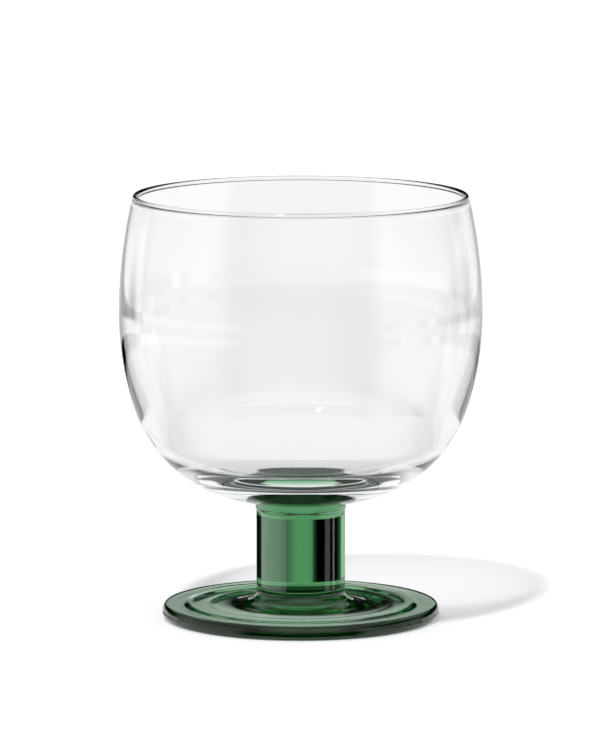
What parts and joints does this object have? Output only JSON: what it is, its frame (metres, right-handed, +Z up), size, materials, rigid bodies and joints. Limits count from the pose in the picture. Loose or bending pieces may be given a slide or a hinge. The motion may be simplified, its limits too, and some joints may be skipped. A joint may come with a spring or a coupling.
{
  "type": "wine glass",
  "caption": "Low goblet for wine: rounded clear glass bowl fused to a short, thick green glass stem on a ringed disc foot.",
  "frame": {"origin": "on the glass's axis, in the plane that its foot rests on", "axes": "+Z up the axis, from the foot towards the rim; the glass is turned about Z, so X and Y are alike"},
  "size_m": [0.0954, 0.0954, 0.112],
  "materials": {
    "clear_glass": "clear, fire-polished",
    "green_glass": "transparent bottle green, fire-polished"
  },
  "bodies": {
    "root": {"bowl": "clear_glass", "stem": "green_glass", "foot": "green_glass"}
  },
  "joints": []
}
